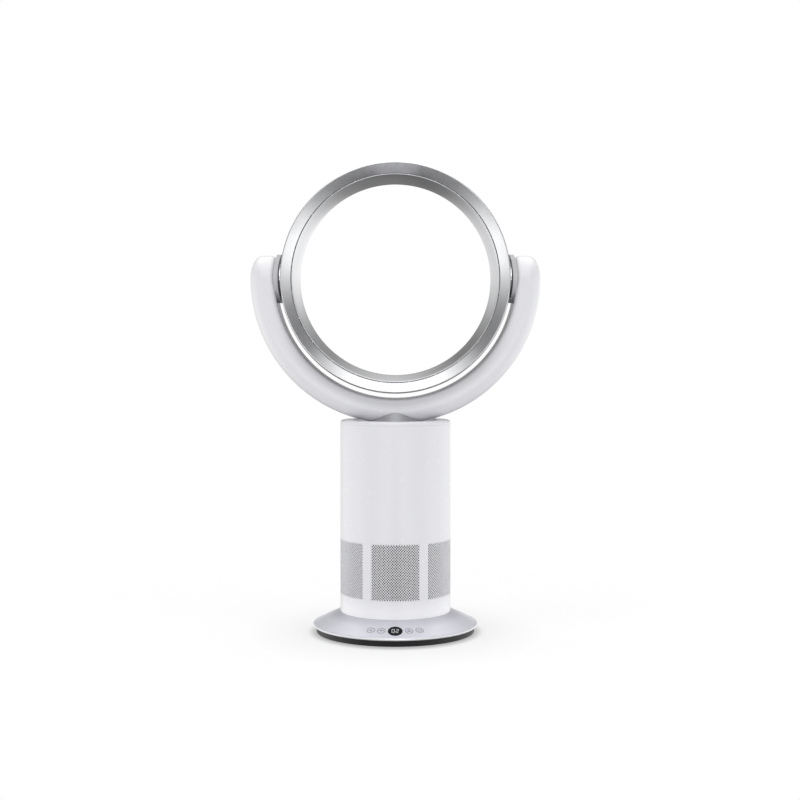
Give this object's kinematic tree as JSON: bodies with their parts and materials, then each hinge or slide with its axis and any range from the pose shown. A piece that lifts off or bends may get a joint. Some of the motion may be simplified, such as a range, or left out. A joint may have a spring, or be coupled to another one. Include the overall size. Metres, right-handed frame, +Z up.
{
  "type": "bladeless fan",
  "caption": "Bladeless fan: a round air ring tilts in a crescent yoke that swivels on a cylindrical column with perforated intake panels over a disc base with a display.",
  "frame": {"origin": "on the floor under the feet, on the column's axis", "axes": "+Z up, the front with the display faces -Y, +X to the right seen along +Y"},
  "size_m": [0.461, 0.2632, 0.7456],
  "materials": {
    "white_shell": "glossy moulded",
    "silver_ring": "metallic silver lacquer on moulded plastic",
    "grey_cover": "satin silver-grey",
    "black_pan": "matte, fine texture",
    "drum_grey": "satin",
    "grille_grey": "satin",
    "black_gloss": "polished",
    "black_nylon": "moulded",
    "natural_acetal": "smooth",
    "rubber": "matte",
    "board_green": "solder mask",
    "steel": "bright zinc plate",
    "lamination": "stacked laminations",
    "aluminium": "die cast",
    "iron": "rough",
    "copper": "enamelled winding",
    "magnet": "ground"
  },
  "bodies": {
    "base": {"ballast_plate": "iron", "base_cover": "grey_cover", "base_feet": "rubber", "base_pan": "black_pan", "base_screws": "steel", "blower_housing": "black_nylon", "bracket_screws": "steel", "bulkhead": "black_nylon", "chassis_screws": "steel", "column_cap": "white_shell", "column_chassis": "black_nylon", "column_shell": "white_shell", "control_board": "board_green", "dc_jack": "black_nylon", "diffuser": "black_nylon", "diffuser_tail": "black_nylon", "display_module": "black_nylon", "display_window": "black_gloss", "duct_seal": "rubber", "intake_grille_1": "grille_grey", "intake_grille_2": "grille_grey", "intake_grille_3": "grille_grey", "intake_grille_4": "grille_grey", "intake_grille_5": "grille_grey", "intake_grille_6": "grille_grey", "isolator_ring": "rubber", "motor_bearings": "steel", "motor_bracket": "steel", "motor_can": "aluminium", "motor_coils": "copper", "motor_end_cap": "aluminium", "motor_stator": "lamination", "neck_bearing": "natural_acetal", "outlet_duct": "black_nylon", "swivel_motor": "steel", "thrust_washer": "natural_acetal", "touch_pads": "steel"},
    "impeller": {"impeller": "black_nylon", "impeller_shaft": "steel", "impeller_nut": "steel", "rotor_magnet": "magnet"},
    "pinion": {"swivel_pinion": "natural_acetal", "pinion_shaft": "steel"},
    "yoke": {"neck": "grey_cover", "neck_clip": "steel", "neck_screws": "steel", "swivel_gear": "natural_acetal", "yoke_front_shell": "white_shell", "yoke_rear_shell": "white_shell", "yoke_screws": "steel", "pivot_hub_left": "drum_grey", "pivot_hub_right": "drum_grey", "pivot_nuts": "natural_acetal", "friction_rings": "rubber"},
    "ring": {"ring_front": "silver_ring", "ring_casing": "silver_ring", "ring_throat": "silver_ring", "journal_left": "natural_acetal", "journal_right": "natural_acetal", "journal_clips": "steel"}
  },
  "joints": [
    {"name": "head_swivel", "type": "hinge", "parent": "base", "child": "yoke", "pos_m": [0, 0, 0.3345], "axis": [0, 0, 1], "range_deg": [-45, 45]},
    {"name": "ring_tilt", "type": "hinge", "parent": "yoke", "child": "ring", "pos_m": [0, 0, 0.563], "axis": [1, 0, 0], "range_deg": [-15, 15]},
    {"name": "impeller_spin", "type": "hinge", "parent": "base", "child": "impeller", "pos_m": [0, 0, 0.14], "axis": [0, 0, 1], "continuous": true},
    {"name": "pinion_spin", "type": "hinge", "parent": "base", "child": "pinion", "pos_m": [0, 0.05, 0.3], "axis": [0, 0, 1], "range_deg": [-181, 181]}
  ],
  "couplings": [
    {"joint": "pinion_spin", "follows": "head_swivel", "ratio": -4}
  ]
}
